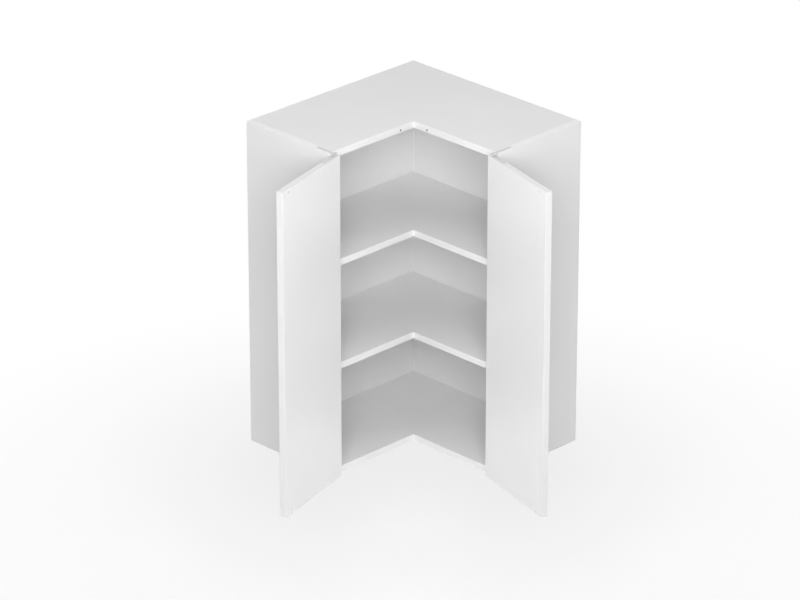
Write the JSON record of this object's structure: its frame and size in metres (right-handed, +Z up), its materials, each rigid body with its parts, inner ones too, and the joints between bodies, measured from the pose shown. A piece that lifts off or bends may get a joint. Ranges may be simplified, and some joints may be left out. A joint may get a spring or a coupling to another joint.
{
  "type": "corner wall cabinet",
  "caption": "Wall-hung corner kitchen cabinet with an open L-shaped plan, shelves and plain doors that swing wide on knife hinges.",
  "frame": {"origin": "the corner of the two walls at the height of the cabinet's underside", "axes": "+Z up; +X along the right wall away from the corner; +Y out of the back of the right wall, so the room is towards -Y; the left wall is the plane x = 0"},
  "size_m": [0.8543, 0.8543, 0.9],
  "materials": {
    "carcass_board": "light grey melamine, fine matt texture, lighter edge bands",
    "back_board": "light grey melamine face on thin fibreboard",
    "door_board": "white satin lacquer on a slab door",
    "post_wood": "raw sawn softwood",
    "zinc_steel": "bright zinc plate",
    "hinge_steel": "satin nickel plate",
    "pin_steel": "turned bright steel",
    "white_plastic": "moulded white nylon",
    "white_steel": "white powder coat",
    "clear_rubber": "clear soft polyurethane"
  },
  "bodies": {
    "cabinet": {"right_side_panel": "carcass_board", "left_side_panel": "carcass_board", "top_panel": "carcass_board", "bottom_panel": "carcass_board", "lower_shelf": "carcass_board", "upper_shelf": "carcass_board", "right_back_panel": "back_board", "left_back_panel": "back_board", "rear_corner_post": "post_wood", "right_lower_shelf_support_front": "zinc_steel", "right_lower_shelf_support_rear": "zinc_steel", "right_lower_shelf_support_corner": "zinc_steel", "right_upper_shelf_support_front": "zinc_steel", "right_upper_shelf_support_rear": "zinc_steel", "right_upper_shelf_support_corner": "zinc_steel", "right_upper_cabinet_leaf": "hinge_steel", "right_upper_hinge_pin": "pin_steel", "right_upper_hinge_washer": "white_plastic", "right_lower_cabinet_leaf": "hinge_steel", "right_lower_hinge_pin": "pin_steel", "right_lower_hinge_washer": "white_plastic", "right_catch_magnet": "white_plastic", "right_hanger_housing": "white_plastic", "right_hanger_cover": "white_plastic", "right_hanger_hook": "zinc_steel", "right_wall_plate": "zinc_steel", "right_hanger_height_screw": "pin_steel", "right_hanger_depth_screw": "pin_steel", "left_lower_shelf_support_front": "zinc_steel", "left_lower_shelf_support_rear": "zinc_steel", "left_lower_shelf_support_corner": "zinc_steel", "left_upper_shelf_support_front": "zinc_steel", "left_upper_shelf_support_rear": "zinc_steel", "left_upper_shelf_support_corner": "zinc_steel", "left_upper_cabinet_leaf": "hinge_steel", "left_upper_hinge_pin": "pin_steel", "left_upper_hinge_washer": "white_plastic", "left_lower_cabinet_leaf": "hinge_steel", "left_lower_hinge_pin": "pin_steel", "left_lower_hinge_washer": "white_plastic", "left_catch_magnet": "white_plastic", "left_hanger_housing": "white_plastic", "left_hanger_cover": "white_plastic", "left_hanger_hook": "zinc_steel", "left_wall_plate": "zinc_steel", "left_hanger_height_screw": "pin_steel", "left_hanger_depth_screw": "pin_steel"},
    "right_door": {"right_door": "door_board", "right_upper_door_leaf": "hinge_steel", "right_lower_door_leaf": "hinge_steel", "right_catch_strike": "white_steel", "right_door_bumper": "clear_rubber"},
    "left_door": {"left_door": "door_board", "left_upper_door_leaf": "hinge_steel", "left_lower_door_leaf": "hinge_steel", "left_catch_strike": "white_steel", "left_door_bumper": "clear_rubber"}
  },
  "joints": [
    {"name": "right_door_swing", "type": "hinge", "parent": "cabinet", "child": "right_door", "pos_m": [0.592, -0.3135, 0], "axis": [0, 0, 1], "range_deg": [-165, 5]},
    {"name": "left_door_swing", "type": "hinge", "parent": "cabinet", "child": "left_door", "pos_m": [0.3135, -0.592, 0], "axis": [0, 0, -1], "range_deg": [-165, 5]}
  ]
}
